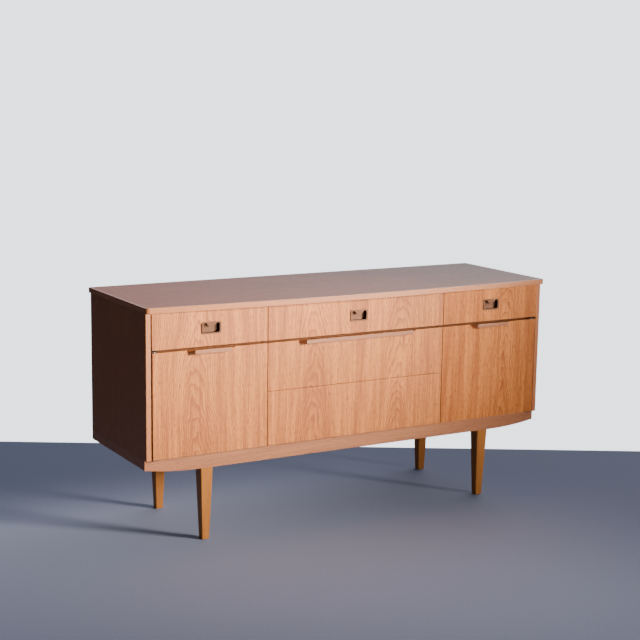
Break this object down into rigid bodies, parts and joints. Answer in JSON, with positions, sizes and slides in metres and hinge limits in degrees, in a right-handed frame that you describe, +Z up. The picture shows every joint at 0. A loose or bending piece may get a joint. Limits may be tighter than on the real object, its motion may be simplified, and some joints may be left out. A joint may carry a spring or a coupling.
{
  "type": "sideboard",
  "caption": "Long low sideboard with a bow-fronted top, drawers with recessed pulls, cupboard doors with lip grips, and tapered square legs.",
  "frame": {"origin": "centre of the overall box on the floor, under the feet", "axes": "+X to the right along the width seen from the front, +Y to the back, +Z up; the doors and drawers face -Y"},
  "size_m": [1.5, 0.4948, 0.76],
  "materials": {
    "teak_veneer": "satin oiled teak veneer, grain upright on the fronts",
    "teak_top": "satin teak veneer, grain along the length",
    "teak_trim": "semi-gloss solid teak",
    "leg_wood": "satin stained hardwood",
    "plain_wood": "unfinished light hardwood",
    "drawer_ply": "matt thin plywood",
    "hardboard": "matt pressed board",
    "steel": "plain steel",
    "pull_metal": "satin metal, darkened in the recess",
    "nylon": "matt nylon",
    "catch_grey": "matt moulded case"
  },
  "bodies": {
    "carcass": {"top_panel": "teak_top", "top_lipping": "teak_trim", "side_left": "teak_veneer", "side_right": "teak_veneer", "side_lippings": "teak_trim", "bottom_panel": "teak_veneer", "partition_left": "teak_veneer", "partition_right": "teak_veneer", "back_panel": "hardboard", "back_screws": "steel", "top_rails": "plain_wood", "divider_left": "teak_veneer", "divider_centre": "teak_veneer", "divider_right": "teak_veneer", "drawer_runners": "plain_wood", "runner_screws": "steel", "shelf_left": "teak_veneer", "shelf_right": "teak_veneer", "shelf_pins": "steel", "base_front_rail": "teak_veneer", "base_back_rail": "teak_veneer", "base_side_rails": "teak_veneer", "leg_bearers": "plain_wood", "leg_front_left": "leg_wood", "leg_front_right": "leg_wood", "leg_back_left": "leg_wood", "leg_back_right": "leg_wood", "leg_plates": "steel", "leg_bolts": "steel", "leg_plate_screws": "steel", "pivot_plates": "steel", "pivot_pins": "steel", "pivot_washers": "nylon", "door_catches": "catch_grey"},
    "door_left": {"door_left": "teak_veneer", "door_left_grip": "teak_trim", "door_left_strike": "steel"},
    "door_right": {"door_right": "teak_veneer", "door_right_grip": "teak_trim", "door_right_strike": "steel"},
    "drawer_left": {"drawer_left_front": "teak_veneer", "drawer_left_box": "plain_wood", "drawer_left_bottom": "drawer_ply", "drawer_left_pull": "pull_metal"},
    "drawer_centre": {"drawer_centre_front": "teak_veneer", "drawer_centre_box": "plain_wood", "drawer_centre_bottom": "drawer_ply", "drawer_centre_pull": "pull_metal"},
    "drawer_right": {"drawer_right_front": "teak_veneer", "drawer_right_box": "plain_wood", "drawer_right_bottom": "drawer_ply", "drawer_right_pull": "pull_metal"},
    "drawer_middle": {"drawer_middle_front": "teak_veneer", "drawer_middle_box": "plain_wood", "drawer_middle_bottom": "drawer_ply", "drawer_middle_grip": "teak_trim"},
    "drawer_low": {"drawer_low_front": "teak_veneer", "drawer_low_box": "plain_wood", "drawer_low_bottom": "drawer_ply"}
  },
  "joints": [
    {"name": "drawer_left_slide", "type": "slide", "parent": "carcass", "child": "drawer_left", "axis": [0, -1, 0], "range_m": [0, 0.3]},
    {"name": "drawer_centre_slide", "type": "slide", "parent": "carcass", "child": "drawer_centre", "axis": [0, -1, 0], "range_m": [0, 0.3]},
    {"name": "drawer_right_slide", "type": "slide", "parent": "carcass", "child": "drawer_right", "axis": [0, -1, 0], "range_m": [0, 0.3]},
    {"name": "drawer_middle_slide", "type": "slide", "parent": "carcass", "child": "drawer_middle", "axis": [0, -1, 0], "range_m": [0, 0.3]},
    {"name": "drawer_low_slide", "type": "slide", "parent": "carcass", "child": "drawer_low", "axis": [0, -1, 0], "range_m": [0, 0.3]},
    {"name": "door_left_hinge", "type": "hinge", "parent": "carcass", "child": "door_left", "pos_m": [-0.714, -0.2005, 0.289], "axis": [0, 0, -1], "range_deg": [0, 110]},
    {"name": "door_right_hinge", "type": "hinge", "parent": "carcass", "child": "door_right", "pos_m": [0.714, -0.2005, 0.289], "axis": [0, 0, 1], "range_deg": [0, 110]}
  ]
}
